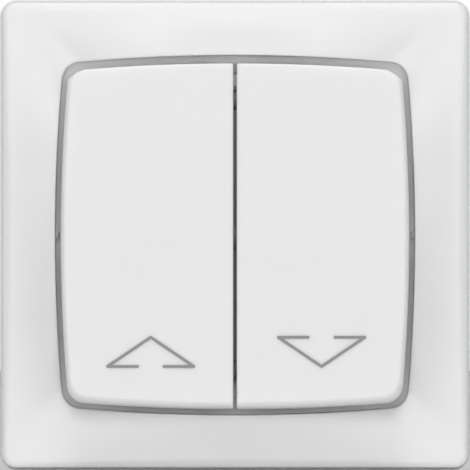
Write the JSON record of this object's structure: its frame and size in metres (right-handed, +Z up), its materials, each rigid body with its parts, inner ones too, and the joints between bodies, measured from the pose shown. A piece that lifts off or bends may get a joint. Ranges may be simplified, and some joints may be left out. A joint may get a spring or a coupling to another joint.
{
  "type": "roller shutter switch",
  "caption": "Flush-mounted roller shutter switch: square cover frame with a barrel-shaped opening, up and down rockers side by side, and its wall box insert with claws.",
  "frame": {"origin": "centre of the wall box's mouth, in the plane of the wall surface, behind the middle of the cover frame", "axes": "+X to the right and +Z up as seen from the room, +Y into the wall, so the rockers face -Y"},
  "size_m": [0.081, 0.0364, 0.081],
  "materials": {
    "white_plastic": "pure white satin gloss moulded plastic",
    "grey_plastic": "matt grey moulded plastic",
    "natural_nylon": "natural nylon",
    "orange_plastic": "orange moulded plastic",
    "zinc_plated_steel": "zinc-plated punched steel",
    "spring_steel": "bright spring steel",
    "brass": "bright brass strip",
    "silver": "silver contact rivet"
  },
  "bodies": {
    "insert": {"insert_base": "grey_plastic", "insert_cover": "grey_plastic", "mounting_ring": "zinc_plated_steel", "cover_frame": "white_plastic", "common_terminal": "brass", "up_terminal": "brass", "down_terminal": "brass", "left_fixed_contact": "silver", "right_fixed_contact": "silver", "up_clamp_spring": "spring_steel", "down_clamp_spring": "spring_steel", "supply_clamp_spring": "spring_steel", "loop_clamp_spring": "spring_steel", "upper_rivet": "zinc_plated_steel", "lower_rivet": "zinc_plated_steel"},
    "left_rocker_unit": {"left_rocker": "white_plastic", "left_carrier": "grey_plastic", "left_plunger": "natural_nylon", "left_plunger_spring": "spring_steel"},
    "right_rocker_unit": {"right_rocker": "white_plastic", "right_carrier": "grey_plastic", "right_plunger": "natural_nylon", "right_plunger_spring": "spring_steel"},
    "left_bridge_unit": {"left_contact_bridge": "brass", "left_moving_contact": "silver"},
    "right_bridge_unit": {"right_contact_bridge": "brass", "right_moving_contact": "silver"},
    "left_screw": {"left_claw_screw": "zinc_plated_steel"},
    "right_screw": {"right_claw_screw": "zinc_plated_steel"},
    "left_claw_unit": {"left_claw": "zinc_plated_steel"},
    "right_claw_unit": {"right_claw": "zinc_plated_steel"},
    "left_nut": {"left_claw_nut": "zinc_plated_steel"},
    "right_nut": {"right_claw_nut": "zinc_plated_steel"},
    "up_button": {"up_release_button": "orange_plastic"},
    "down_button": {"down_release_button": "orange_plastic"},
    "supply_button": {"supply_release_button": "orange_plastic"},
    "loop_button": {"loop_release_button": "orange_plastic"}
  },
  "joints": [
    {"name": "left_rocker_tilt", "type": "hinge", "parent": "insert", "child": "left_rocker_unit", "pos_m": [-0.0096, -0.003, 0], "axis": [1, 0, 0], "range_deg": [0, 9.5]},
    {"name": "right_rocker_tilt", "type": "hinge", "parent": "insert", "child": "right_rocker_unit", "pos_m": [0.0096, -0.003, 0], "axis": [1, 0, 0], "range_deg": [0, 9.5]},
    {"name": "left_bridge_swing", "type": "hinge", "parent": "insert", "child": "left_bridge_unit", "pos_m": [-0.0096, 0.0124, 0], "axis": [1, 0, 0], "range_deg": [-12, 0]},
    {"name": "right_bridge_swing", "type": "hinge", "parent": "insert", "child": "right_bridge_unit", "pos_m": [0.0096, 0.0124, 0], "axis": [1, 0, 0], "range_deg": [-12, 0]},
    {"name": "left_claw_screw_turn", "type": "hinge", "parent": "insert", "child": "left_screw", "pos_m": [-0.024, 0, 0], "axis": [0, 1, 0], "range_deg": [0, 2058]},
    {"name": "right_claw_screw_turn", "type": "hinge", "parent": "insert", "child": "right_screw", "pos_m": [0.024, 0, 0], "axis": [0, 1, 0], "range_deg": [0, 2058]},
    {"name": "left_claw_spread", "type": "slide", "parent": "insert", "child": "left_claw_unit", "axis": [-0.6, -0.8, 0], "range_m": [0, 0.005]},
    {"name": "right_claw_spread", "type": "slide", "parent": "insert", "child": "right_claw_unit", "axis": [0.6, -0.8, 0], "range_m": [0, 0.005]},
    {"name": "left_nut_travel", "type": "slide", "parent": "insert", "child": "left_nut", "axis": [0, -1, 0], "range_m": [0, 0.004]},
    {"name": "right_nut_travel", "type": "slide", "parent": "insert", "child": "right_nut", "axis": [0, -1, 0], "range_m": [0, 0.004]},
    {"name": "up_button_push", "type": "slide", "parent": "insert", "child": "up_button", "axis": [0, -1, 0], "range_m": [0, 0.0014], "stiffness_N_per_m": 400, "deforming": ["up_clamp_spring"]},
    {"name": "down_button_push", "type": "slide", "parent": "insert", "child": "down_button", "axis": [0, -1, 0], "range_m": [0, 0.0014], "stiffness_N_per_m": 400, "deforming": ["down_clamp_spring"]},
    {"name": "supply_button_push", "type": "slide", "parent": "insert", "child": "supply_button", "axis": [0, -1, 0], "range_m": [0, 0.0014], "stiffness_N_per_m": 400, "deforming": ["supply_clamp_spring"]},
    {"name": "loop_button_push", "type": "slide", "parent": "insert", "child": "loop_button", "axis": [0, -1, 0], "range_m": [0, 0.0014], "stiffness_N_per_m": 400, "deforming": ["loop_clamp_spring"]}
  ],
  "couplings": [
    {"joint": "left_bridge_swing", "follows": "left_rocker_tilt", "ratio": -1.263},
    {"joint": "right_bridge_swing", "follows": "right_rocker_tilt", "ratio": -1.263},
    {"joint": "left_claw_screw_turn", "follows": "left_nut_travel", "rad_per_m": 8976},
    {"joint": "left_claw_spread", "follows": "left_nut_travel", "ratio": 1.25},
    {"joint": "right_claw_screw_turn", "follows": "right_nut_travel", "rad_per_m": 8976},
    {"joint": "right_claw_spread", "follows": "right_nut_travel", "ratio": 1.25}
  ]
}
